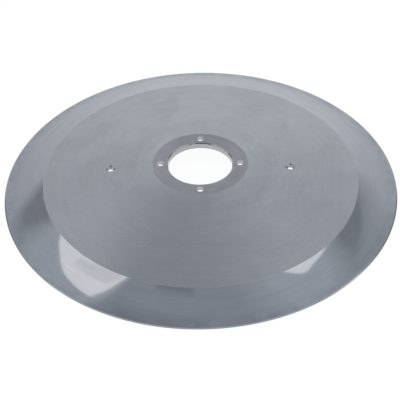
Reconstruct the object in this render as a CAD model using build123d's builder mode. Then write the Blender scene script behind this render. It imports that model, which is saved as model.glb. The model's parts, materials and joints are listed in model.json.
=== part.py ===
from build123d import *
from math import cos, hypot, radians, sin, tan
import os

# Circular blade of a food slicer, 350 mm. It is one turned piece of hardened steel: a thick
# hub, a thin dished web and a cutting ring ground hollow on both sides. The origin is the
# centre of the cutting edge's plane, +Z is the spindle axis and points to the convex side.

# Overall
edge_d = 350.0
blade_height = 22.0

# Hub: bore on the spindle, flat seat against its flange, boss inside the dish
bore_d = 57.0
seat_width = 13.9
hub_thickness = 6.0
boss_margin = 3.6
boss_flank_angle = 45.0
bore_chamfer_seat = 0.9
bore_chamfer_boss = 0.5

# Web: a shallow cone of even thickness from the seat out to the cutting ring
dome_edge_height = 9.5
web_thickness = 3.8

# Cutting ring: hollow-ground flank, narrow sharpening bevel, hollow front face
ring_width = 35.0
flank_hollow = 0.9
bevel_width = 1.25
bevel_angle = 30.0
front_hollow = 0.5

# Recess in the concave side, where the blade cover lies inside the cutting ring
recess_inset = 1.0
recess_lip_height = 1.8
recess_fillet = 1.0
recess_chamfer = 0.5

# Countersunk screws that hold the hub to the flange, put in from the concave side
screw_inset = 6.75
screw_count = 4
screw_hole_d = 5.5
screw_sink_d = 11.0
sink_angle = 90.0

# Holes for the tool that lifts the blade off the machine, at the core size of an M6 thread
puller_circle_d = 160.0
puller_count = 2
puller_core_d = 5.0
puller_sink_d = 8.5
puller_back_sink_d = 5.8

# Derived radii and heights
edge_r = edge_d / 2
dome_r = edge_r - ring_width
recess_r = dome_r - recess_inset
bore_r = bore_d / 2
seat_r = bore_r + seat_width
boss_r = seat_r + boss_margin
screw_circle_r = bore_r + screw_inset
puller_circle_r = puller_circle_d / 2
hub_back_z = blade_height - hub_thickness
dome_slope = (blade_height - dome_edge_height) / (dome_r - seat_r)
web_drop = web_thickness * hypot(1, dome_slope)
sink_flare = tan(radians(sink_angle / 2))


def dome_z(r):
    """Height of the web's convex face at radius r."""
    return blade_height - (r - seat_r) * dome_slope


def web_back_z(r):
    """Height of the web's concave face at radius r."""
    return dome_z(r) - web_drop


def rim_offset(sink_r):
    """How far a vertical countersink's far rim lies beyond its centre on the sloping web."""
    return dome_slope * sink_r / (1 - dome_slope * sink_flare)


# Cutter for a puller hole, sunk on both faces of the sloping web. Each sink starts at its
# far rim and ends at the thread's core.
puller_core_r = puller_core_d / 2
front_offset = rim_offset(puller_sink_d / 2)
back_offset = rim_offset(puller_back_sink_d / 2)
front_sink_r = puller_sink_d / 2 + front_offset * sink_flare
back_sink_r = puller_back_sink_d / 2 + back_offset * sink_flare
front_sink_z = dome_z(puller_circle_r) + front_offset
back_sink_z = web_back_z(puller_circle_r) - back_offset

with BuildPart() as puller_cutter:
    with BuildSketch(Plane.XZ):
        with BuildLine():
            Polyline(
                (0, front_sink_z),
                (front_sink_r, front_sink_z),
                (puller_core_r, front_sink_z - (front_sink_r - puller_core_r) / sink_flare),
                (puller_core_r, back_sink_z + (back_sink_r - puller_core_r) / sink_flare),
                (back_sink_r, back_sink_z),
                (0, back_sink_z),
                close=True,
            )
        make_face()
    revolve(axis=Axis.Z)

# Half section, from the cutting edge over the convex side to the bore and back along the
# concave side. Its plane stands at 45 degrees, so that the revolved faces close clear of
# the holes.
section_plane = Plane(origin=(0, 0, 0), x_dir=(1, 1, 0), z_dir=(1, -1, 0))
boss_flare = tan(radians(boss_flank_angle))
boss_step = (web_back_z(boss_r) - hub_back_z) / (1 + boss_flare * dome_slope)
tip = (edge_r, 0.0)
bevel_top = (
    edge_r - bevel_width * cos(radians(bevel_angle)),
    bevel_width * sin(radians(bevel_angle)),
)
dome_edge = (dome_r, dome_edge_height)
seat_edge = (seat_r, blade_height)
bore_top = (bore_r, blade_height)
bore_back = (bore_r, hub_back_z)
boss_edge = (boss_r, hub_back_z)
boss_foot = (boss_r + boss_step * boss_flare, hub_back_z + boss_step)
recess_root = (recess_r, web_back_z(recess_r))
recess_lip = (recess_r, recess_lip_height)

with BuildPart() as blade:
    with BuildSketch(section_plane) as section:
        with BuildLine():
            Line(tip, bevel_top)
            SagittaArc(bevel_top, dome_edge, flank_hollow)
            Polyline(
                dome_edge,
                seat_edge,
                bore_top,
                bore_back,
                boss_edge,
                boss_foot,
                recess_root,
                recess_lip,
            )
            SagittaArc(recess_lip, tip, front_hollow)
        make_face()
        chamfer(section.vertices().sort_by_distance(bore_top)[0], bore_chamfer_seat)
        chamfer(section.vertices().sort_by_distance(bore_back)[0], bore_chamfer_boss)
        fillet(section.vertices().sort_by_distance(recess_root)[0], recess_fillet)
        chamfer(section.vertices().sort_by_distance(recess_lip)[0], recess_chamfer)
    revolve(axis=Axis.Z)

    # Screw holes, sunk from the hub's concave side
    with Locations(Plane((0, 0, hub_back_z), z_dir=(0, 0, -1))):
        with PolarLocations(screw_circle_r, screw_count):
            CounterSinkHole(screw_hole_d / 2, screw_sink_d / 2, counter_sink_angle=sink_angle)

    # Puller holes
    with PolarLocations(puller_circle_r, puller_count):
        add(puller_cutter.part, mode=Mode.SUBTRACT)

blade.part.label = "blade"
os.makedirs("parts", exist_ok=True)
export_step(blade.part, "parts/blade.step")
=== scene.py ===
"""A food slicer's circular blade on a pale studio floor.

The blade is one turned piece of hardened steel: a thick hub with a bore and four countersunk
screw holes, a shallow dished web with two tapped puller holes, and a cutting ring that is
ground hollow on both sides. It lies on its cutting edge, with the convex side up.
"""

import json
from collections import namedtuple
from math import asin, atan2, ceil, cos, dist, hypot, pi, radians, sin, tan

import bpy
import numpy as np
from bpy.props import FloatProperty, FloatVectorProperty, IntProperty, PointerProperty
from bpy.types import Operator, Panel, PropertyGroup
from mathutils import Matrix, Vector
from mathutils.geometry import delaunay_2d_cdt


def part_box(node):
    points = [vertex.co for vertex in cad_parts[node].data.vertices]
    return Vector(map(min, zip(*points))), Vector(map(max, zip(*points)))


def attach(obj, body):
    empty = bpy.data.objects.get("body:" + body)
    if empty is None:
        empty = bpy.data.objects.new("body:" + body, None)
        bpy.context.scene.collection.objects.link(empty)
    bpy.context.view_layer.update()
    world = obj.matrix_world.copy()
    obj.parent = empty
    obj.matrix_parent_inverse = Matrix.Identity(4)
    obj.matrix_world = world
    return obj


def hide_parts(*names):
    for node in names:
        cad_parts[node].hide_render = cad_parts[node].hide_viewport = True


bl_info = {
    "name": "Food Slicer Blade",
    "version": (1, 0, 0),
    "blender": (4, 5, 0),
    "location": "3D View > Sidebar > Blade",
    "description": "Builds a hollow-ground slicer blade in steel and the studio it lies in",
    "category": "Object",
}

MM = 0.001

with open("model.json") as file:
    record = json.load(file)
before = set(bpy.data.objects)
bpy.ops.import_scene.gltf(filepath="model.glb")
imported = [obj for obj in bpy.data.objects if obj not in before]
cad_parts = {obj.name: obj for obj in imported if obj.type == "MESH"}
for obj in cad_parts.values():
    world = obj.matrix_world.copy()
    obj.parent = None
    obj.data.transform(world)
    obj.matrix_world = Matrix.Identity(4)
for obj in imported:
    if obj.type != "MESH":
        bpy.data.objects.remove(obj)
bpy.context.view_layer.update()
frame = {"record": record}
blade_low, blade_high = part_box("blade")
mounts = {mount["name"]: mount for mount in frame["record"]["mounts"]}
screws = mounts["hub_screws"]["dims"]

# Each finish is one material of the blade, and its number is the faces' material index.
WEB, SEAT, BORED, FLANK, BEVEL, FRONT, DRILLED, RIM = range(8)

# Facets across the recess's root fillet and across every other rounded corner
FILLET_STEPS, CORNER_STEPS = 6, 3

# Rings of points down each stretch of a screw hole's wall
WALL_RINGS = 5

# Steps in which the rim of a sink on the sloping web is found
RIM_PASSES = 12

# The thread: rings of points to a pitch, half the angle between its flanks, and half the
# width of its floor as a share of the pitch
THREAD_RINGS = 16
THREAD_HALF_ANGLE = radians(30)
THREAD_FLOOR = 1 / 16

# Clear space around a hole, without points of the revolved face
HOLE_MARGIN = 0.35 * MM

# The triangulation's output, only faces inside the outline, and its least distance
INSIDE_OUTLINE = 1
LEAST_DISTANCE = 1e-6

# One part of the half section: its finish, its points (r, z) and the normals (r, z) there.
Stretch = namedtuple("Stretch", "finish points normals")

# One hole through the blade: its centre in plan, its wall as grids of points that run from
# the rim on the convex side to the rim on the concave side, and the finish of each grid.
Hole = namedtuple("Hole", "centre walls finishes")


def length(name, description, default, low=0.0):
    """A property for one of the blade's or studio's lengths, in metres."""
    return FloatProperty(
        name=name, description=description, default=default, min=low, unit="LENGTH", precision=5
    )


def angle(name, description, degrees):
    """A property for an angle, with its default given in degrees."""
    return FloatProperty(
        name=name, description=description, default=radians(degrees), subtype="ANGLE"
    )


def factor(name, description, default):
    """A property for a share from 0 to 1."""
    return FloatProperty(
        name=name, description=description, default=default, min=0.0, max=1.0, subtype="FACTOR"
    )


def colour(name, description, default):
    """A property for a plain colour in linear values."""
    return FloatVectorProperty(
        name=name, description=description, default=default, min=0.0, max=1.0, subtype="COLOR"
    )


class BladeSizes(PropertyGroup):
    """The blade's sizes. The main ones come from the frame."""

    edge_d: length("Edge diameter", "Diameter of the cutting edge", blade_high.x - blade_low.x)
    height: length(
        "Height", "From the cutting edge's plane to the hub's seat", blade_high.z - blade_low.z
    )
    bore_d: length(
        "Bore", "Diameter of the spindle bore", 2 * mounts["spindle_bore"]["dims"]["r_mm"] * MM
    )
    seat_width: length("Seat width", "Width of the flat seat around the bore", 13.9 * MM)
    hub_thickness: length("Hub thickness", "From the seat to the boss's face", 6.0 * MM)
    boss_margin: length("Boss margin", "How much wider the boss is than the seat", 3.6 * MM)
    boss_flank: angle("Boss flank", "Slope of the boss's flank against the spindle axis", 45)
    seat_chamfer: length("Seat chamfer", "Bore chamfer on the seat's side", 0.9 * MM)
    boss_chamfer: length("Boss chamfer", "Bore chamfer on the boss's side", 0.5 * MM)
    dome_edge_height: length(
        "Web edge height", "Height of the corner between web and cutting ring", 9.5 * MM
    )
    web_thickness: length("Web thickness", "Thickness of the conical web", 3.8 * MM)
    ring_width: length("Ring width", "Radial width of the cutting ring", 35.0 * MM)
    flank_hollow: length("Flank hollow", "Depth of the hollow in the ring's flank", 0.9 * MM)
    bevel_width: length("Bevel width", "Width of the sharpening bevel", 1.25 * MM)
    bevel_slope: angle("Bevel slope", "Slope of the bevel against the edge's plane", 30)
    front_hollow: length("Front hollow", "Depth of the hollow in the front face", 0.5 * MM)
    recess_inset: length("Recess inset", "How far the recess stays inside the web", 1.0 * MM)
    recess_lip: length("Recess lip", "Height of the lip around the recess", 1.8 * MM)
    recess_fillet: length("Recess fillet", "Rounding at the recess's root", 1.0 * MM)
    recess_chamfer: length("Recess chamfer", "Chamfer on the recess's lip", 0.5 * MM)
    corner_round: length("Corner rounding", "Rounding of the turned corners", 0.25 * MM)

    screw_circle_d: length(
        "Screw circle", "Diameter of the circle of screws", screws["pcd_mm"] * MM
    )
    screw_count: IntProperty(
        name="Screws", description="Number of hub screws", default=screws["count"], min=1
    )
    screw_hole_d: length(
        "Screw hole", "Diameter of the clearance holes", 2 * screws["hole_r_mm"] * MM
    )
    screw_sink_d: length("Screw sink", "Diameter of the countersinks", 11.0 * MM)
    screw_break: length("Screw hole edge", "Edge break of the holes on the seat", 0.6 * MM)
    sink_angle: angle("Sink angle", "Full angle of all countersinks", 90)

    puller_circle_d: length(
        "Puller circle",
        "Distance between the two puller holes",
        2 * mounts["puller_hole_right"]["pos_m"][0],
    )
    puller_count: IntProperty(
        name="Puller holes", description="Number of puller holes", default=2, min=1
    )
    thread_core_d: length("Thread core", "Core diameter of the puller holes' thread", 5.0 * MM)
    thread_depth: length("Thread depth", "Depth of the thread's groove", 0.5 * MM)
    thread_pitch: length("Thread pitch", "Pitch of the puller holes' thread", 1.0 * MM)
    puller_sink_d: length("Puller sink", "Sink on the convex side", 8.5 * MM)
    puller_back_sink_d: length("Puller back sink", "Sink on the concave side", 5.8 * MM)

    segments: IntProperty(
        name="Segments", description="Facets around the blade", default=480, min=24
    )
    hole_segments: IntProperty(
        name="Hole segments", description="Facets around each hole", default=48, min=12
    )


class BladeFinish(PropertyGroup):
    """Colours and polish of the blade's surfaces."""

    steel: colour("Steel", "Colour of the turned web", (0.587, 0.603, 0.646))
    seat: colour("Seat steel", "Colour of the ground seat", (0.479, 0.475, 0.512))
    # The bored steel's darker colour is painted shade: it stands in for the shadowed floor under
    # the blade that these walls mirror
    bored: colour("Bored steel", "Colour of the bore and the recess's wall", (0.43, 0.435, 0.46))
    ground: colour("Ground steel", "Colour of the ground cutting ring", (0.548, 0.575, 0.628))
    bevel: colour("Bevel steel", "Colour of the bevel, seat chamfer and sinks", (0.54, 0.55, 0.58))
    # The broken edges' steel is far lighter than the rest: a painted highlight all round the screw
    # holes' rims
    rim: colour("Rim steel", "Colour of the screw holes' broken edges", (0.76, 0.77, 0.80))
    web_roughness: factor("Web roughness", "Roughness of the turned web", 0.24)
    seat_roughness: factor("Seat roughness", "Roughness of the ground seat", 0.28)
    bored_roughness: factor("Bore roughness", "Roughness of bored surfaces", 0.15)
    flank_roughness: factor("Flank roughness", "Roughness of the ring's flank", 0.055)
    bevel_roughness: factor("Bevel roughness", "Roughness of the bevel and seat chamfer", 0.14)
    front_roughness: factor("Front roughness", "Roughness of the front face", 0.14)
    drilled_roughness: factor("Hole roughness", "Roughness of sinks and threads", 0.15)
    rim_roughness: factor("Rim roughness", "Roughness of the screw holes' broken edges", 0.5)
    grain: factor("Grain", "How far the turned grain stretches the highlights", 0.55)
    wear: factor("Wear", "How much handling wear shows", 0.5)


class StudioSettings(PropertyGroup):
    """Camera, floor and light."""

    camera_distance: length("Camera distance", "From the blade's origin", 0.88267)
    camera_elevation: angle("Camera elevation", "Above the floor", 40.254)
    camera_turn: angle("Camera turn", "Around the spindle axis, from straight in front", 0.7)
    camera_roll: angle("Camera roll", "Around the line of sight", -1.142)
    aim_right: length("Aim right", "Aim point, to the right of the axis", -0.000815, low=-1.0)
    aim_back: length("Aim back", "Aim point, behind the axis", -0.024477, low=-1.0)
    lens: FloatProperty(
        name="Lens",
        description="Focal length, on a sensor 36 mm wide",
        default=88.165,
        subtype="DISTANCE_CAMERA",
    )
    floor_size: length("Floor size", "Side of the square floor", 40.0)
    floor_white: factor("Floor white", "How light the floor shows", 0.89)
    floor_shade: factor("Floor shade", "How strongly the floor takes shadows", 0.22)
    floor_mirrored: factor(
        "Floor mirrored", "How much of it the steel mirrors beyond the edge", 0.45
    )
    card_height: length("Card height", "Height of the lamps and grey cards", 1.0)
    card_drop: length("Card drop", "How far each card hangs below the one before", 0.003)


# Half section


def direction(a, b):
    """Unit vector from point a to point b."""
    size = dist(a, b)
    return (b[0] - a[0]) / size, (b[1] - a[1]) / size


def turned(vector, by):
    """The vector turned anticlockwise by an angle."""
    x, y = vector
    return x * cos(by) - y * sin(by), x * sin(by) + y * cos(by)


def arc_half_angle(a, b, hollow):
    """Half the angle of the arc between a and b that is that deep."""
    chord = dist(a, b)
    radius = (chord**2 / 4 + hollow**2) / (2 * hollow)
    return asin(chord / 2 / radius)


def hollow_points(a, b, hollow, steps):
    """Points from a to b, on a line or on an arc that lies hollow in the steel."""
    share = np.linspace(0, 1, steps + 1)
    if not hollow:
        return np.outer(1 - share, a) + np.outer(share, b)
    along = direction(a, b)
    half = arc_half_angle(a, b, hollow)
    chord = dist(a, b)
    radius = chord / 2 / sin(half)
    turn = (2 * share - 1) * half
    way = chord / 2 + radius * np.sin(turn)
    depth = radius * np.cos(turn) - (radius - hollow)
    inward = (-along[1], along[0])
    return np.array(a) + np.outer(way, along) + np.outer(depth, inward)


def corner_points(corner, before, after, radius, steps):
    """Points of the arc that rounds a corner, between the directions before and after it."""
    cross = before[0] * after[1] - before[1] * after[0]
    turn = atan2(cross, before[0] * after[0] + before[1] * after[1])
    trim = radius * tan(abs(turn) / 2)
    start = np.array(corner) - trim * np.array(before)
    side = 1 if turn > 0 else -1
    centre = start + side * radius * np.array((-before[1], before[0]))
    spoke = start - centre
    return np.array([centre + turned(spoke, turn * k / steps) for k in range(steps + 1)])


def outward_normals(points):
    """Normals of a smooth run of points, to the right of its way."""
    order = 2 if len(points) > 2 else 1
    way = np.gradient(points, axis=0, edge_order=order)
    way /= np.linalg.norm(way, axis=1)[:, None]
    return np.column_stack((way[:, 1], -way[:, 0]))


def half_section(sizes):
    """The stretches of the half section, from the cutting edge over the convex side to the
    bore, and back along the concave side."""
    edge_r = sizes.edge_d / 2
    dome_r = edge_r - sizes.ring_width
    recess_r = dome_r - sizes.recess_inset
    bore_r = sizes.bore_d / 2
    seat_r = bore_r + sizes.seat_width
    boss_r = seat_r + sizes.boss_margin
    back_z = sizes.height - sizes.hub_thickness
    slope = (sizes.height - sizes.dome_edge_height) / (dome_r - seat_r)
    web_drop = sizes.web_thickness * hypot(1, slope)
    flare = tan(sizes.boss_flank)

    def web_back_z(r):
        return sizes.height - (r - seat_r) * slope - web_drop

    boss_step = (web_back_z(boss_r) - back_z) / (1 + flare * slope)
    small = sizes.corner_round
    bevel_top = (
        edge_r - sizes.bevel_width * cos(sizes.bevel_slope),
        sizes.bevel_width * sin(sizes.bevel_slope),
    )
    wall_top = (recess_r, web_back_z(recess_r))
    lip_r = recess_r + sizes.recess_chamfer
    boss_foot = (boss_r + boss_step * flare, back_z + boss_step)

    # Corner, its rounding, then the finish, hollow and divisions of the stretch after it
    corners = (
        ((edge_r, 0.0), 0.0, BEVEL, 0.0, 3),
        (bevel_top, 0.0, FLANK, sizes.flank_hollow, 32),
        ((dome_r, sizes.dome_edge_height), 2 * small, WEB, 0.0, 28),
        ((seat_r, sizes.height), small, SEAT, 0.0, 13),
        ((bore_r + sizes.seat_chamfer, sizes.height), small / 2, BEVEL, 0.0, 2),
        ((bore_r, sizes.height - sizes.seat_chamfer), small / 2, BORED, 0.0, 5),
        ((bore_r, back_z + sizes.boss_chamfer), small / 2, BORED, 0.0, 1),
        ((bore_r + sizes.boss_chamfer, back_z), small / 2, SEAT, 0.0, 16),
        ((boss_r, back_z), small, BORED, 0.0, 2),
        (boss_foot, small, WEB, 0.0, 26),
        (wall_top, sizes.recess_fillet, BORED, 0.0, 3),
        ((recess_r, sizes.recess_lip + sizes.recess_chamfer), small / 2, BORED, 0.0, 1),
        ((lip_r, sizes.recess_lip), small / 2, FRONT, sizes.front_hollow, 16),
    )

    # The way into and out of each corner, with the turn of the hollow stretches taken in
    leave, arrive = [], []
    for here, after in zip(corners, corners[1:] + corners[:1]):
        along = direction(here[0], after[0])
        half = arc_half_angle(here[0], after[0], here[3]) if here[3] else 0.0
        leave.append(turned(along, half))
        arrive.append(turned(along, -half))
    roundings = []
    for k, (point, radius, *_) in enumerate(corners):
        if radius:
            steps = FILLET_STEPS if radius == sizes.recess_fillet else CORNER_STEPS
            roundings.append(corner_points(point, arrive[k - 1], leave[k], radius, steps))
        else:
            roundings.append(np.array([point]))

    stretches = []
    for k, (_, radius, finish, hollow, steps) in enumerate(corners):
        if radius:
            stretches.append(Stretch(finish, roundings[k], outward_normals(roundings[k])))
        following = roundings[(k + 1) % len(corners)]
        points = hollow_points(roundings[k][-1], following[0], hollow, steps)
        stretches.append(Stretch(finish, points, outward_normals(points)))
    return stretches


# Holes


def around(count):
    """The angles of that many points around a hole."""
    return np.arange(count) * 2 * pi / count


def screw_hole(sizes, at):
    """A countersunk screw hole, as stretches of its wall."""
    turns = around(sizes.hole_segments)
    hole_r, sink_r = sizes.screw_hole_d / 2, sizes.screw_sink_d / 2
    top, back = sizes.height, sizes.height - sizes.hub_thickness
    sink_top = back + (sink_r - hole_r) / tan(sizes.sink_angle / 2)
    profile = (
        (hole_r + sizes.screw_break, top),
        (hole_r, top - sizes.screw_break),
        (hole_r, sink_top),
        (sink_r, back),
    )
    centre = (sizes.screw_circle_d / 2 * cos(at), sizes.screw_circle_d / 2 * sin(at))
    walls = []
    for (r_a, z_a), (r_b, z_b) in zip(profile, profile[1:]):
        share = np.linspace(0, 1, WALL_RINGS)[:, None]
        radius, z = r_a + (r_b - r_a) * share, z_a + (z_b - z_a) * share
        walls.append(wall_grid(centre, turns, radius, z))
    return Hole(centre, walls, (RIM, BORED, DRILLED))


def wall_grid(centre, turns, radius, z):
    """Points around a hole from the radius and height of each, a row for each ring."""
    x = centre[0] + radius * np.cos(turns)
    y = centre[1] + radius * np.sin(turns)
    return np.stack(np.broadcast_arrays(x, y, z), axis=-1)


def puller_hole(sizes, at, front_z, back_z):
    """A tapped puller hole, sunk on both sides of the sloping web. front_z and back_z give
    the height of the web's two faces at a radius."""
    turns = around(sizes.hole_segments)
    circle_r = sizes.puller_circle_d / 2
    centre = (circle_r * cos(at), circle_r * sin(at))
    flare = tan(sizes.sink_angle / 2)
    core_r = sizes.thread_core_d / 2
    sink_r, back_sink_r = sizes.puller_sink_d / 2, sizes.puller_back_sink_d / 2

    def rim(sink, face_z, side):
        """The radii at which a sink meets a sloping face, found by stepping towards it."""
        radius = np.full(len(turns), sink)
        for _ in range(RIM_PASSES):
            x, y, _ = wall_grid(centre, turns, radius, 0.0).T
            z = face_z(np.hypot(x, y))
            radius = sink + side * flare * (z - face_z(circle_r))
        return radius, z

    front_rim, top = rim(sink_r, front_z, 1)
    back_rim, bottom = rim(back_sink_r, back_z, -1)
    rings = ceil(np.max(top - bottom) / (sizes.thread_pitch / THREAD_RINGS))
    share = np.linspace(0, 1, rings + 1)[:, None]
    z = top * (1 - share) + bottom * share
    phase = (z / sizes.thread_pitch - turns / (2 * pi)) % 1
    flank = sizes.thread_depth * tan(THREAD_HALF_ANGLE) / sizes.thread_pitch
    groove = np.clip((THREAD_FLOOR + flank - abs(phase - 0.5)) / flank, 0, 1)
    radius = core_r + sizes.thread_depth * groove
    radius = np.maximum(radius, sink_r + flare * (z - front_z(circle_r)))
    radius = np.maximum(radius, back_sink_r - flare * (z - back_z(circle_r)))
    radius[0], radius[-1] = front_rim, back_rim
    return Hole(centre, [wall_grid(centre, turns, radius, z)], (DRILLED,))


# Surface


class Skin:
    """The blade's surface while it is put together: its points, and for each face its
    corners, finish and corner normals."""

    def __init__(self):
        self.points = []
        self.faces = []
        self.finishes = []
        self.normals = []

    def add_points(self, rows):
        """Adds points and returns their numbers."""
        first = len(self.points)
        self.points.extend(tuple(row) for row in rows)
        return list(range(first, len(self.points)))

    def add_face(self, corners, normals, finish):
        """Adds one face."""
        self.faces.append(corners)
        self.normals.extend(normals)
        self.finishes.append(finish)

    def add_band(self, rings, normals, finish, left_out=()):
        """Adds the faces between two closed rings of points, but for those left out."""
        count = len(rings[0])
        for j in range(count):
            if j in left_out:
                continue
            k = (j + 1) % count
            self.add_face(
                (rings[0][j], rings[0][k], rings[1][k], rings[1][j]),
                (normals[0][j], normals[0][k], normals[1][k], normals[1][j]),
                finish,
            )

    def add_hole(self, hole):
        """Adds a hole's wall and returns the numbers of the points on its two rims."""
        front = above = self.add_points(hole.walls[0][0])
        for wall, finish in zip(hole.walls, hole.finishes):
            normals = wall_normals(wall)
            for row in range(1, len(wall)):
                below = self.add_points(wall[row])
                self.add_band((above, below), normals[row - 1 : row + 1], finish)
                above = below
        return front, above

    def mesh(self, name):
        """The finished mesh, without the points that no face uses."""
        used = sorted({corner for face in self.faces for corner in face})
        number = {old: new for new, old in enumerate(used)}
        mesh = bpy.data.meshes.new(name)
        mesh.from_pydata(
            [self.points[old] for old in used],
            [],
            [[number[corner] for corner in face] for face in self.faces],
        )
        mesh.polygons.foreach_set("material_index", self.finishes)
        mesh.polygons.foreach_set("use_smooth", [True] * len(self.faces))
        mesh.normals_split_custom_set(self.normals)
        mesh.validate()
        return mesh


def wall_normals(wall):
    """Normals of a hole's wall, towards the hole."""
    down = np.gradient(wall, axis=0, edge_order=2)
    along = np.roll(wall, -1, axis=1) - np.roll(wall, 1, axis=1)
    normals = np.cross(along, down)
    return normals / np.linalg.norm(normals, axis=-1)[..., None]


def revolved_normals(normal, turns):
    """A section normal (r, z), turned around the axis."""
    return np.column_stack(
        (normal[0] * np.cos(turns), normal[0] * np.sin(turns), np.full(len(turns), normal[1]))
    )


def pierce(skin, rows, stretch, centre, rim, segments):
    """Joins a hole's rim to the revolved points around it. Returns the block of the grid
    that this takes, as a range of rows and a set of columns."""
    rim_points = np.array([skin.points[k] for k in rim])
    distance = hypot(*centre)
    reach = np.max(np.hypot(*(rim_points[:, :2] - centre).T)) + HOLE_MARGIN
    radii = stretch.points[:, 0]
    inside = np.flatnonzero(abs(radii - distance) < reach)
    first, last = inside[0] - 1, inside[-1] + 1
    if first < 0 or last >= len(radii):
        raise RuntimeError("a hole comes too close to the edge of its face")
    middle = round(atan2(centre[1], centre[0]) / (2 * pi) * segments)
    half = ceil(asin(reach / distance) / (2 * pi) * segments) + 1
    columns = [(middle + k) % segments for k in range(-half, half + 1)]

    outline = [rows[first][c] for c in columns]
    outline += [rows[row][columns[-1]] for row in range(first + 1, last)]
    outline += [rows[last][c] for c in reversed(columns)]
    outline += [rows[row][columns[0]] for row in range(last - 1, first, -1)]
    between = [rows[row][c] for row in range(first + 1, last) for c in columns[1:-1]]
    clear = [k for k in between if dist(skin.points[k][:2], centre) > reach]
    numbers = outline + list(rim) + clear
    flat = [Vector(skin.points[k][:2]) / MM for k in numbers]
    loops = ((0, len(outline)), (len(outline), len(outline) + len(rim)))
    edges = [
        (k, k + 1 if k + 1 < end else start) for start, end in loops for k in range(start, end)
    ]
    joined = delaunay_2d_cdt(flat, edges, [], INSIDE_OUTLINE, LEAST_DISTANCE)
    _, _, faces, sources, _, _ = joined
    if any(len(source) != 1 for source in sources):
        raise RuntimeError("the faces around a hole don't join its rim")
    rim = set(rim)
    normal = stretch.normals[0]
    for face in faces:
        corners = [numbers[sources[k][0]] for k in face]
        if rim.issuperset(corners):
            continue
        if normal[1] < 0:
            corners.reverse()
        places = [skin.points[k] for k in corners]
        turns = np.array([atan2(y, x) for x, y, _ in places])
        skin.add_face(corners, revolved_normals(normal, turns), stretch.finish)
    return range(first, last), set(columns[:-1])


def blade_mesh(sizes):
    """The blade's mesh, closed and with exact normals."""
    stretches = half_section(sizes)
    skin = Skin()
    turns = around(sizes.segments)
    web, seat, boss, web_back = (
        stretch
        for stretch in stretches
        if stretch.finish in (WEB, SEAT) and len(stretch.points) > FILLET_STEPS + 1
    )

    def face_height(stretch):
        """The height of a straight stretch at any radius."""
        (r_a, z_a), (r_b, z_b) = stretch.points[0], stretch.points[-1]
        return lambda r: z_a + (z_b - z_a) * (r - r_a) / (r_b - r_a)

    holes = []
    for k in range(sizes.screw_count):
        hole = screw_hole(sizes, k * 2 * pi / sizes.screw_count)
        holes.append((hole.centre, (seat, boss), skin.add_hole(hole)))
    for k in range(sizes.puller_count):
        turn = k * 2 * pi / sizes.puller_count
        hole = puller_hole(sizes, turn, face_height(web), face_height(web_back))
        holes.append((hole.centre, (web, web_back), skin.add_hole(hole)))

    first_ring = last_ring = None
    for stretch in stretches:
        rows = [last_ring] if last_ring else []
        for r, z in stretch.points[len(rows) :]:
            if stretch is stretches[-1] and len(rows) == len(stretch.points) - 1:
                rows.append(first_ring)
                continue
            ring = np.column_stack((r * np.cos(turns), r * np.sin(turns), np.full(len(turns), z)))
            rows.append(skin.add_points(ring))
        first_ring = first_ring or rows[0]
        last_ring = rows[-1]
        taken = {}
        for centre, faces, rims in holes:
            for face, rim in zip(faces, rims):
                if face is stretch:
                    block, columns = pierce(skin, rows, stretch, centre, rim, sizes.segments)
                    for row in block:
                        taken.setdefault(row, set()).update(columns)
        normals = [revolved_normals(normal, turns) for normal in stretch.normals]
        for row in range(len(rows) - 1):
            skin.add_band(
                rows[row : row + 2], normals[row : row + 2], stretch.finish, taken.get(row, ())
            )
    return skin.mesh("slicer_blade")


def place_object(name, data):
    """A new object in the scene."""
    item = bpy.data.objects.new(name, data)
    bpy.context.scene.collection.objects.link(item)
    return item


# Shader node groups and materials


class Tree:
    """Adds nodes to a node tree, each with its settings and inputs in one call."""

    def __init__(self, tree):
        self.tree = tree

    def add(self, kind, inputs=None, **settings):
        """Adds a node and returns it. An input is a value or another node's output."""
        node = self.tree.nodes.new(kind)
        for name, value in settings.items():
            setattr(node, name, value)
        for name, value in (inputs or {}).items():
            if isinstance(value, bpy.types.NodeSocket):
                self.link(value, node.inputs[name])
            else:
                node.inputs[name].default_value = value
        return node

    def link(self, output, socket):
        """Links one node's output to another's input."""
        self.tree.links.new(output, socket)

    def math(self, operation, *values, clamp=False):
        """The result of a math node."""
        inputs = dict(enumerate(values))
        return self.add("ShaderNodeMath", inputs, operation=operation, use_clamp=clamp).outputs[0]

    def remap(self, value, low, high, to_low=0.0, to_high=1.0, smooth=True):
        """The value's place between low and high, moved to a new range."""
        names = ("Value", "From Min", "From Max", "To Min", "To Max")
        inputs = dict(zip(names, (value, low, high, to_low, to_high)))
        kind = "SMOOTHSTEP" if smooth else "LINEAR"
        return self.add("ShaderNodeMapRange", inputs, interpolation_type=kind).outputs["Result"]

    def group(self, name, inputs):
        """The outputs of a placed node group."""
        group = bpy.data.node_groups[name]
        return self.add("ShaderNodeGroup", inputs, node_tree=group).outputs

    def noise(self, place, scale, detail, **more):
        """A noise from 0 to 1, with any other inputs by name."""
        inputs = {"Vector": place, "Scale": scale, "Detail": detail, **more}
        return self.add("ShaderNodeTexNoise", inputs).outputs["Fac"]


def empty_tree(block):
    """The node tree of a new material or world, emptied."""
    block.use_nodes = True
    block.node_tree.nodes.clear()
    return Tree(block.node_tree)


def new_group(name, settings, outputs):
    """Starts a shader node group that works from a position and settings. Returns its tree,
    inputs and output node."""
    group = bpy.data.node_groups.new(name, "ShaderNodeTree")
    new_socket = group.interface.new_socket
    new_socket("Position", in_out="INPUT", socket_type="NodeSocketVector")
    for title, default in settings.items():
        socket = new_socket(title, in_out="INPUT", socket_type="NodeSocketFloat")
        socket.default_value = default
    for title in outputs:
        new_socket(title, in_out="OUTPUT", socket_type="NodeSocketFloat")
    tree = Tree(group)
    return tree, tree.add("NodeGroupInput").outputs, tree.add("NodeGroupOutput").inputs


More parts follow.
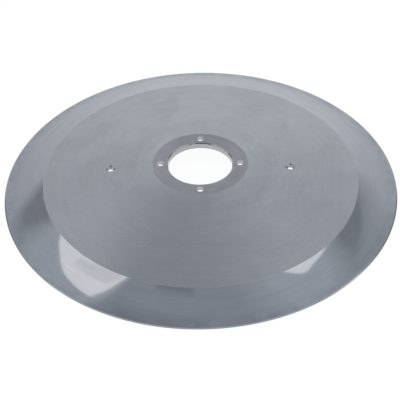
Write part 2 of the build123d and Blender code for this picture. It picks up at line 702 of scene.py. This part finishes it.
# Turning marks: how much closer streaks lie than bands, the noise's roughness, and how far
# each mark wavers around the blade and its detail
STREAK_SCALE = 2.5
MARKS_NOISE = 0.6
GROOVE_WAVER, GROOVE_DETAIL = 1.5, 3.0
BAND_WAVER, BAND_DETAIL = 1.5, 4.0
STREAK_WAVER, STREAK_DETAIL = 7.0, 2.0

# Handling marks: the smudges' cloud and where it starts and is full, the turns and stretches
# of the scratches and their width in the noise, and the patches in which they lie
SMUDGE_CLOUD = {"Roughness": 0.55, "Distortion": 0.4}
SMUDGE_RANGE = (0.38, 0.68)
SCRATCH_RUNS = ((0.5, 14.0), (2.1, 18.0), (2.9, 11.0))
SCRATCH_WIDTH = 0.006
PATCH_SCALE = 45.0
PATCH_RANGE = (0.5, 0.7)

# Rim wear: where it starts and is full in the noise that breaks it up
BREAK_RANGE = (0.3, 0.65)


def radius_of(tree, position):
    """X, Y, Z and distance from the spindle axis of a position."""
    parts = tree.add("ShaderNodeSeparateXYZ", {0: position}).outputs
    flat = tree.add("ShaderNodeCombineXYZ", {"X": parts["X"], "Y": parts["Y"]}).outputs[0]
    radius = tree.add("ShaderNodeVectorMath", {0: flat}, operation="LENGTH").outputs["Value"]
    return parts, radius


def make_turning_group():
    """Concentric marks of a turning or grinding tool: fine grooves, broader bands and short
    rubbed streaks."""
    tree, given, result = new_group(
        "Turning marks", {"Grooves": 2500.0, "Bands": 90.0}, ("Groove", "Band", "Streak")
    )
    parts, radius = radius_of(tree, given["Position"])
    way = tree.math("ADD", radius, parts["Z"])
    east = tree.math("DIVIDE", parts["X"], radius)
    north = tree.math("DIVIDE", parts["Y"], radius)
    streaks = tree.math("MULTIPLY", given["Bands"], STREAK_SCALE)
    for output, scale, waver, detail in (
        ("Groove", given["Grooves"], GROOVE_WAVER, GROOVE_DETAIL),
        ("Band", given["Bands"], BAND_WAVER, BAND_DETAIL),
        ("Streak", streaks, STREAK_WAVER, STREAK_DETAIL),
    ):
        place = tree.add(
            "ShaderNodeCombineXYZ",
            {
                "X": tree.math("MULTIPLY", way, scale),
                "Y": tree.math("MULTIPLY", east, waver),
                "Z": tree.math("MULTIPLY", north, waver),
            },
        )
        noise = tree.noise(place.outputs[0], 1.0, detail, Roughness=MARKS_NOISE)
        tree.link(noise, result[output])


def make_handling_group():
    """Marks of handling: cloudy smudges where hands and cloths went, and hairline scratches."""
    tree, given, result = new_group(
        "Handling marks", {"Smudge Size": 28.0, "Scratch Size": 60.0}, ("Smudge", "Scratch")
    )
    cloud = tree.noise(given["Position"], given["Smudge Size"], 5.0, **SMUDGE_CLOUD)
    tree.link(tree.remap(cloud, *SMUDGE_RANGE), result["Smudge"])
    lines = 0.0
    for turn, stretch in SCRATCH_RUNS:
        spun = tree.add(
            "ShaderNodeVectorRotate",
            {"Vector": given["Position"], "Angle": turn},
            rotation_type="Z_AXIS",
        )
        inputs = {0: spun.outputs[0], 1: (1.0, stretch, 1.0)}
        long = tree.add("ShaderNodeVectorMath", inputs, operation="MULTIPLY")
        noise = tree.noise(long.outputs[0], given["Scratch Size"], 2.0)
        ridge = tree.math("ABSOLUTE", tree.math("SUBTRACT", noise, 0.5))
        lines = tree.math("MAXIMUM", lines, tree.remap(ridge, 0.0, SCRATCH_WIDTH, 1.0, 0.0))
    patches = tree.remap(tree.noise(given["Position"], PATCH_SCALE, 2.0), *PATCH_RANGE)
    tree.link(tree.math("MULTIPLY", lines, patches), result["Scratch"])


def make_rim_group():
    """A soft mask along a circle around the axis, broken up as wear is: worn corners, rubbed rings
    on the web and the flank's painted shade.
    """
    tree, given, result = new_group(
        "Rim wear and shade", {"Radius": 0.1, "Width": 0.001, "Breaks": 90.0}, ("Wear",)
    )
    _, radius = radius_of(tree, given["Position"])
    off = tree.math("ABSOLUTE", tree.math("SUBTRACT", radius, given["Radius"]))
    near = tree.remap(tree.math("DIVIDE", off, given["Width"]), 0.0, 1.0, 1.0, 0.0)
    breaks = tree.remap(tree.noise(given["Position"], given["Breaks"], 4.0), *BREAK_RANGE)
    tree.link(tree.math("MULTIPLY", near, breaks), result["Wear"])


# What sets one finish apart
Finish = namedtuple("Finish", "title steel roughness grain marks rings")

# A ring of steel made lighter or darker: its radius, half width and change of tone. The web's
# rings are rubbed bright or left dull; the flank's ring is painted shade
Ring = namedtuple("Ring", "radius width tone")

# Tool marks: grooves and bands to the metre, the grooves' depth in metres, and how much bands
# and scuffs show in the steel's tone
Marks = namedtuple("Marks", "grooves bands depth tone scuffs")

WEB_MARKS = Marks(2600, 140, 5e-6, 0.025, 1.2)
SEAT_MARKS = Marks(3500, 200, 5e-6, 0.05, 1.8)
BORE_MARKS = Marks(2400, 300, 1e-5, 0.12, 0.8)
FLANK_MARKS = Marks(4200, 400, 1e-6, 0.03, 0.4)
BEVEL_MARKS = Marks(5200, 900, 3e-6, 0.08, 0.3)
FRONT_MARKS = Marks(3600, 140, 2e-6, 0.06, 0.5)
DRILL_MARKS = Marks(3000, 400, 8e-6, 0.12, 0.5)
RIM_MARKS = Marks(3000, 400, 4e-6, 0.05, 0.3)

# Rings on the web, measured from the seat's edge, and on the flank, from the cutting edge, where
# painted shade darkens the steel
WEB_RINGS = (Ring(3 * MM, 4 * MM, 0.04), Ring(19 * MM, 11 * MM, -0.04))
FLANK_SHADE_RINGS = (Ring(-2 * MM, 10 * MM, -0.14),)


def finishes_of(look, sizes):
    """The finishes in the order of their numbers."""
    fine, plain = look.grain, 0.0
    seat_r, edge_r = sizes.bore_d / 2 + sizes.seat_width, sizes.edge_d / 2
    web_rings = [ring._replace(radius=seat_r + ring.radius) for ring in WEB_RINGS]
    flank_shade_rings = [ring._replace(radius=edge_r + ring.radius) for ring in FLANK_SHADE_RINGS]
    return (
        Finish("Turned web", look.steel, look.web_roughness, fine, WEB_MARKS, web_rings),
        Finish("Ground seat", look.seat, look.seat_roughness, fine, SEAT_MARKS, ()),
        # The bored steel's darker colour is painted shade of the shadowed floor it mirrors
        Finish("Bored steel", look.bored, look.bored_roughness, plain, BORE_MARKS, ()),
        Finish("Ring flank", look.ground, look.flank_roughness, plain, FLANK_MARKS, flank_shade_rings),
        Finish("Honed bevel", look.bevel, look.bevel_roughness, plain, BEVEL_MARKS, ()),
        Finish("Ground front", look.ground, look.front_roughness, plain, FRONT_MARKS, ()),
        Finish("Drilled steel", look.bevel, look.drilled_roughness, plain, DRILL_MARKS, ()),
        # The broken edges' light steel is a painted highlight
        Finish("Broken edge with painted highlight", look.rim, look.rim_roughness, plain, RIM_MARKS, ()),
    )


# The part of the noise that bands and streaks use, and the streaks' tone against the bands'
BAND_RANGE = (0.3, 0.7)
STREAK_RANGE = (0.35, 0.65)
STREAK_TONE = 0.8

# Width of the worn line along a turned corner
CORNER_WEAR = 0.7 * MM

# How strongly the marks show in the steel's tone, roughness and relief
SMUDGE_TONE, SCRATCH_TONE, CORNER_TONE = 0.10, 0.12, 0.30
SMUDGE_ROUGHNESS, SCRATCH_ROUGHNESS, GROOVE_ROUGHNESS = 0.35, 0.08, 0.12
SCRATCH_RELIEF = 0.6

# A quarter turn, which stretches the highlights across the grooves
GRAIN_TURN = 0.25


def steel_material(finish, sizes, wear):
    """One steel finish."""
    marks = finish.marks
    material = bpy.data.materials.new(finish.title)
    tree = empty_tree(material)
    position = tree.add("ShaderNodeTexCoord").outputs["Object"]
    tooled = tree.group(
        "Turning marks", {"Position": position, "Grooves": marks.grooves, "Bands": marks.bands}
    )
    hands = tree.group("Handling marks", {"Position": position})
    corners = 0.0
    for radius in (
        sizes.edge_d / 2 - sizes.ring_width,
        sizes.bore_d / 2 + sizes.seat_width,
        sizes.bore_d / 2 + sizes.seat_chamfer,
    ):
        worn = tree.group(
            "Rim wear and shade", {"Position": position, "Radius": radius, "Width": CORNER_WEAR}
        )
        corners = tree.math("MAXIMUM", corners, worn["Wear"])

    tone, rub = marks.tone, STREAK_TONE * marks.tone
    band = tree.remap(tooled["Band"], *BAND_RANGE, 1 - tone, 1 + tone, smooth=False)
    streak = tree.remap(tooled["Streak"], *STREAK_RANGE, -rub, rub, smooth=False)
    band = tree.math("ADD", band, streak)
    smudge = tree.math("MULTIPLY", hands["Smudge"], SMUDGE_TONE * wear * marks.scuffs)
    line = tree.math("MULTIPLY", hands["Scratch"], SCRATCH_TONE * wear * marks.scuffs)
    edge = tree.math("MULTIPLY", corners, CORNER_TONE * wear)
    light = tree.math("ADD", tree.math("SUBTRACT", band, smudge), tree.math("ADD", line, edge))
    # The web's rings are rubbed bright or left dull; the flank's ring is painted shade that
    # darkens the steel towards the cutting edge
    for ring in finish.rings:
        rubbed = tree.group(
            "Rim wear and shade", {"Position": position, "Radius": ring.radius, "Width": ring.width}
        )
        light = tree.math("MULTIPLY_ADD", rubbed["Wear"], ring.tone, light)
    tint = tree.add(
        "ShaderNodeVectorMath", {0: tuple(finish.steel), 1: light}, operation="MULTIPLY"
    )

    groove = tree.math("SUBTRACT", tooled["Groove"], 0.5)
    dull = tree.math("MULTIPLY", hands["Smudge"], SMUDGE_ROUGHNESS * wear)
    rough = tree.math("ADD", dull, tree.math("MULTIPLY", groove, GROOVE_ROUGHNESS))
    rough = tree.math("MULTIPLY", tree.math("ADD", rough, 1.0), finish.roughness)
    torn = tree.math("MULTIPLY", hands["Scratch"], SCRATCH_ROUGHNESS)
    rough = tree.math("ADD", rough, torn, clamp=True)

    scored = tree.math("MULTIPLY", hands["Scratch"], SCRATCH_RELIEF)
    relief = tree.math("SUBTRACT", tooled["Groove"], scored)
    bump = tree.add("ShaderNodeBump", {"Height": relief, "Distance": marks.depth, "Strength": 1.0})
    surface = {
        "Base Color": tint.outputs[0],
        "Metallic": 1.0,
        "Roughness": rough,
        "Normal": bump.outputs["Normal"],
    }
    if finish.grain:
        around_axis = tree.add("ShaderNodeTangent", direction_type="RADIAL", axis="Z")
        surface["Tangent"] = around_axis.outputs[0]
        surface["Anisotropic"] = finish.grain
        surface["Anisotropic Rotation"] = GRAIN_TURN
    steel = tree.add("ShaderNodeBsdfPrincipled", surface)
    tree.add("ShaderNodeOutputMaterial", {"Surface": steel.outputs[0]})
    return material


# Studio


def card_object(card, height):
    """A flat card over the blade that only its mirror image shows."""
    count = len(card.loops[0].corners)
    points = [(x, y, height) for loop in card.loops for x, y in loop.corners]
    faces = [tuple(range(count))]
    for inner in range(0, len(points) - count, count):
        for a in range(count):
            b = (a + 1) % count
            faces.append((inner + a, inner + b, inner + count + b, inner + count + a))
    mesh = bpy.data.meshes.new(card.name)
    mesh.from_pydata(points, [], faces)
    cover = mesh.attributes.new("cover", "FLOAT", "POINT")
    cover.data.foreach_set("value", [loop.cover for loop in card.loops for _ in range(count)])
    mesh.materials.append(card_material(card))
    sheet = place_object(card.name, mesh)
    sheet.visible_camera = False
    sheet.visible_shadow = False
    return sheet


def card_material(card):
    """The card's light, as far as the card covers the room behind it."""
    material = bpy.data.materials.new(card.name)
    tree = empty_tree(material)
    cover = tree.add("ShaderNodeAttribute", attribute_name="cover").outputs["Fac"]
    clear = tree.add("ShaderNodeBsdfTransparent")
    glow = tree.add("ShaderNodeEmission", {"Color": (*card.light, 1.0), "Strength": 1.0})
    seen = tree.add("ShaderNodeMixShader", {0: cover, 1: clear.outputs[0], 2: glow.outputs[0]})
    tree.add("ShaderNodeOutputMaterial", {"Surface": seen.outputs[0]})
    return material


def shown_ray(tree, mirrored):
    """1 for rays from the camera or through glass, and less for rays off metal."""
    path = tree.add("ShaderNodeLightPath").outputs
    glossy = tree.math("MULTIPLY", path["Is Glossy Ray"], mirrored)
    shown = tree.math("MAXIMUM", path["Is Camera Ray"], path["Is Transmission Ray"])
    return tree.math("MAXIMUM", shown, glossy)


# The floor's own pale colour, and the radii, as shares of the blade's, between which what the
# steel mirrors of it fades to the studio's setting
FLOOR_PALE = 0.8
FLOOR_FADE = (0.85, 1.05)


def floor_material(studio):
    """A pale floor that shows white and keeps soft shadows."""
    material = bpy.data.materials.new("Pale floor")
    tree = empty_tree(material)
    pale, thin = (
        tree.add("ShaderNodeBsdfDiffuse", {"Color": (level, level, level, 1.0)})
        for level in (FLOOR_PALE, studio.floor_shade)
    )
    white = studio.floor_white
    glow = tree.add("ShaderNodeEmission", {"Color": (white, white, white, 1.0), "Strength": 1.0})
    seen = tree.add("ShaderNodeAddShader", {0: thin.outputs[0], 1: glow.outputs[0]})
    _, radius = radius_of(tree, tree.add("ShaderNodeTexCoord").outputs["Object"])
    near, far = (share * blade_high.x for share in FLOOR_FADE)
    mirrored = tree.remap(radius, near, far, 1.0, studio.floor_mirrored)
    shown = shown_ray(tree, mirrored)
    mix = tree.add("ShaderNodeMixShader", {0: shown, 1: pale.outputs[0], 2: seen.outputs[0]})
    tree.add("ShaderNodeOutputMaterial", {"Surface": mix.outputs[0]})
    return material


# Radiance of the room by the sine of the elevation, behind the blade and on the camera's side
ROOM_BEHIND = ((0.0, 0.73), (0.16, 0.725), (0.26, 0.70), (0.36, 0.645), (0.55, 0.56), (1.0, 0.49))
ROOM_IN_FRONT = ((0.0, 0.72), (0.5, 0.66), (1.0, 0.60))

# How much cooler the room's light is straight overhead
ROOM_COOL = 0.06

# Where the room behind the blade passes into the room in front, by a direction's Y
ROOM_BORDER = (0.05, -0.15)

# Where the room darkens to the left and right near the floor, by a direction's X, and by how
# much at most
ROOM_LEFT, LEFT_DARK = (-0.05, -0.5), 0.22
ROOM_RIGHT, RIGHT_DARK = (0.2, 0.6), 0.14


def make_room():
    """Soft light from all round, brightest near the horizon."""
    world = bpy.data.worlds.new("Soft room")
    tree = empty_tree(world)
    way = tree.add("ShaderNodeTexCoord").outputs["Generated"]
    parts = tree.add("ShaderNodeSeparateXYZ", {0: way}).outputs
    ramps = []
    for stops in (ROOM_BEHIND, ROOM_IN_FRONT):
        node = tree.add("ShaderNodeValToRGB", {"Fac": parts["Z"]})
        elements = node.color_ramp.elements
        while len(elements) < len(stops):
            elements.new(1.0)
        for element, (position, light) in zip(elements, stops):
            element.position = position
            cool = ROOM_COOL * position
            element.color = (light * (1 - cool), light, light * (1 + cool), 1.0)
        ramps.append(node.outputs["Color"])
    front = tree.remap(parts["Y"], *ROOM_BORDER)
    mixed = tree.add(
        "ShaderNodeMix", {"Factor": front, 6: ramps[0], 7: ramps[1]}, data_type="RGBA"
    )
    left = tree.remap(parts["X"], *ROOM_LEFT, 0.0, LEFT_DARK)
    right = tree.remap(parts["X"], *ROOM_RIGHT, 0.0, RIGHT_DARK)
    low = tree.math("SUBTRACT", 1.0, parts["Z"])
    level = tree.math("SUBTRACT", 1.0, tree.math("MULTIPLY", tree.math("ADD", left, right), low))
    light = tree.add("ShaderNodeBackground", {"Color": mixed.outputs[2], "Strength": level})
    tree.add("ShaderNodeOutputWorld", {"Surface": light.outputs[0]})
    bpy.context.scene.world = world


# Width of the camera's sensor in millimetres
SENSOR_WIDTH = 36.0


def make_camera(studio):
    """The camera, placed around the blade's axis and aimed a little in front of it."""
    turn = Matrix.Rotation(studio.camera_turn, 4, "Z")
    rise = studio.camera_elevation
    place = turn @ Vector((0, -cos(rise), sin(rise))) * studio.camera_distance
    aim = turn @ Vector((studio.aim_right, studio.aim_back, 0))
    data = bpy.data.cameras.new("studio_camera")
    data.lens = studio.lens
    data.sensor_width = SENSOR_WIDTH
    data.sensor_fit = "HORIZONTAL"
    camera = place_object("studio_camera", data)
    look = (aim - place).to_track_quat("-Z", "Y").to_matrix().to_4x4()
    camera.matrix_world = (
        Matrix.Translation(place) @ look @ Matrix.Rotation(studio.camera_roll, 4, "Z")
    )
    bpy.context.scene.camera = camera


# A card over the blade: its light, and loops of corners in plan, in metres, from its middle
# outwards, with how much of the room it covers there
Card = namedtuple("Card", "name light loops")
Loop = namedtuple("Loop", "cover corners")

# From the highest to the lowest
CARDS = (
    Card("left_flag", (0.285, 0.300, 0.318), (
        Loop(1.0, ((-0.90, 0.92), (-0.97, 1.03), (-1.20, 1.26), (-1.46, 1.59), (-2.6, 3.0),
                   (-4.4, 2.9), (-1.7, 0.80))),
        Loop(0.5, ((-0.76, 0.83), (-0.90, 1.035), (-1.15, 1.285), (-1.40, 1.63), (-2.5, 3.1),
                   (-4.7, 2.9), (-1.7, 0.70))),
        Loop(0.0, ((-0.62, 0.70), (-0.84, 1.06), (-1.07, 1.27), (-1.31, 1.63), (-2.4, 3.15),
                   (-5.2, 2.9), (-1.7, 0.52))),
    )),
    Card("right_flag", (0.277, 0.292, 0.308), (
        Loop(1.0, ((0.80, 0.515), (0.745, 0.555), (0.84, 0.67), (1.08, 0.95), (2.55, 3.0),
                   (4.4, 2.9), (1.6, 0.55))),
        Loop(0.6, ((0.76, 0.43), (0.61, 0.53), (0.80, 0.69), (1.045, 0.96), (2.42, 3.1),
                   (4.7, 2.9), (1.6, 0.45))),
        Loop(0.0, ((0.66, 0.27), (0.40, 0.42), (0.55, 1.05), (0.85, 1.10), (2.25, 3.2),
                   (5.2, 2.9), (1.5, 0.30))),
    )),
    Card("overhead_panel", (0.350, 0.370, 0.401), (
        Loop(1.0, ((-0.41, -0.15), (0.17, -0.15), (0.15, 0.42), (-0.345, 0.72))),
        Loop(0.0, ((-0.42, -0.22), (0.36, -0.22), (0.36, 0.75), (-0.37, 1.00))),
    )),
    Card("left_lamp", (1.000, 0.976, 0.964), (
        Loop(1.0, ((-0.418, -0.10), (-0.418, 0.325), (-0.595, 0.412), (-0.735, 0.452),
                   (-1.05, 0.60), (-1.05, -0.10))),
    )),
    Card("right_lamp", (0.975, 0.953, 0.938), (
        Loop(1.0, ((0.455, -0.10), (0.455, 0.05), (0.497, 0.165), (0.522, 0.195),
                   (0.590, 0.222), (0.745, 0.322), (1.15, 0.66), (1.30, -0.10))),
    )),
    Card("left_lamp_frame", (0.870, 0.848, 0.838), (
        Loop(1.0, ((-0.66, 0.32), (-0.47, 0.16), (-0.43, -0.05), (-0.69, 0.27))),
        Loop(0.0, ((-0.655, 0.345), (-0.445, 0.17), (-0.40, -0.10), (-0.72, 0.28))),
    )),
    Card("overhead_shade", (0.240, 0.255, 0.275), (
        Loop(0.5, ((-0.30, 0.26), (-0.10, 0.26), (-0.08, 0.50), (-0.30, 0.60))),
        Loop(0.0, ((-0.36, 0.12), (0.06, 0.10), (0.10, 0.80), (-0.37, 0.90))),
    )),
    Card("overhead_bar", (0.240, 0.255, 0.275), (
        Loop(1.0, ((-0.24, -0.17), (-0.07, -0.17), (-0.08, -0.09), (-0.22, -0.08))),
        Loop(0.0, ((-0.30, -0.22), (-0.01, -0.22), (-0.03, -0.01), (-0.25, 0.0))),
    )),
    Card("camera_shade", (0.085, 0.085, 0.090), (
        Loop(1.0, ((-0.63, -0.82), (0.23, -0.82), (0.24, -0.64), (-0.64, -0.61))),
        Loop(0.0, ((-0.72, -0.92), (0.30, -0.92), (0.31, -0.57), (-0.74, -0.54))),
    )),
    Card("stand_shade", (0.085, 0.085, 0.090), (
        Loop(1.0, ((0.45, -0.79), (0.57, -0.79), (0.58, -0.64), (0.45, -0.64))),
        Loop(0.0, ((0.38, -0.91), (0.65, -0.91), (0.66, -0.54), (0.38, -0.54))),
    )),
    Card("left_screen", (0.10, 0.10, 0.105), (
        Loop(1.0, ((-2.03, 0.73), (-2.16, 0.60), (-3.68, 2.33), (-3.45, 2.48))),
        Loop(0.0, ((-1.85, 0.62), (-2.12, 0.38), (-3.95, 2.37), (-3.45, 2.75))),
    )),
    Card("right_screen", (0.10, 0.10, 0.105), (
        Loop(1.0, ((2.03, 0.73), (2.16, 0.60), (3.68, 2.33), (3.45, 2.48))),
        Loop(0.0, ((1.85, 0.62), (2.12, 0.38), (3.95, 2.37), (3.45, 2.75))),
    )),
)


# Operators, panel and registration


class BLADE_OT_build_blade(Operator):
    """Build the steel blade with its finishes"""

    bl_idname = "slicer_blade.build_blade"
    bl_label = "Build Blade"

    def execute(self, context):
        sizes, look = context.scene.blade_sizes, context.scene.blade_finish
        make_turning_group()
        make_handling_group()
        make_rim_group()
        mesh = blade_mesh(sizes)
        for finish in finishes_of(look, sizes):
            mesh.materials.append(steel_material(finish, sizes, look.wear))
        blade = place_object("slicer_blade", mesh)
        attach(blade, "root")
        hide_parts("blade")
        return {"FINISHED"}


class BLADE_OT_build_studio(Operator):
    """Build the floor, soft light and camera"""

    bl_idname = "slicer_blade.build_studio"
    bl_label = "Build Studio"

    def execute(self, context):
        studio = context.scene.blade_studio
        half = studio.floor_size / 2
        mesh = bpy.data.meshes.new("floor")
        corners = ((-half, -half), (half, -half), (half, half), (-half, half))
        mesh.from_pydata([(x, y, blade_low.z) for x, y in corners], [], [range(4)])
        mesh.materials.append(floor_material(studio))
        floor = place_object("floor", mesh)
        height, drop = studio.card_height, studio.card_drop
        cards = [card_object(card, height - k * drop) for k, card in enumerate(CARDS)]
        make_room()
        make_camera(studio)
        context.scene.view_settings.view_transform = "Standard"
        return {"FINISHED"}


class BLADE_PT_build(Panel):
    """Sizes, finishes and studio settings, with a button for each step"""

    bl_idname = "BLADE_PT_build"
    bl_label = "Food Slicer Blade"
    bl_space_type = "VIEW_3D"
    bl_region_type = "UI"
    bl_category = "Blade"

    def draw(self, context):
        layout = self.layout
        for operator, settings in (
            (BLADE_OT_build_blade, (context.scene.blade_sizes, context.scene.blade_finish)),
            (BLADE_OT_build_studio, (context.scene.blade_studio,)),
        ):
            box = layout.box()
            box.operator(operator.bl_idname)
            for group in settings:
                for name in group.__annotations__:
                    box.prop(group, name)


CLASSES = (
    BladeSizes,
    BladeFinish,
    StudioSettings,
    BLADE_OT_build_blade,
    BLADE_OT_build_studio,
    BLADE_PT_build,
)


def register():
    """Registers the classes and puts the settings on the scene."""
    for cls in CLASSES:
        bpy.utils.register_class(cls)
    bpy.types.Scene.blade_sizes = PointerProperty(type=BladeSizes)
    bpy.types.Scene.blade_finish = PointerProperty(type=BladeFinish)
    bpy.types.Scene.blade_studio = PointerProperty(type=StudioSettings)


def unregister():
    """Takes the settings and the classes away again."""
    del bpy.types.Scene.blade_studio
    del bpy.types.Scene.blade_finish
    del bpy.types.Scene.blade_sizes
    for cls in reversed(CLASSES):
        bpy.utils.unregister_class(cls)


def main():
    """Builds the blade and the studio."""
    register()
    bpy.ops.slicer_blade.build_blade()
    bpy.ops.slicer_blade.build_studio()


if __name__ == "__main__":
    main()
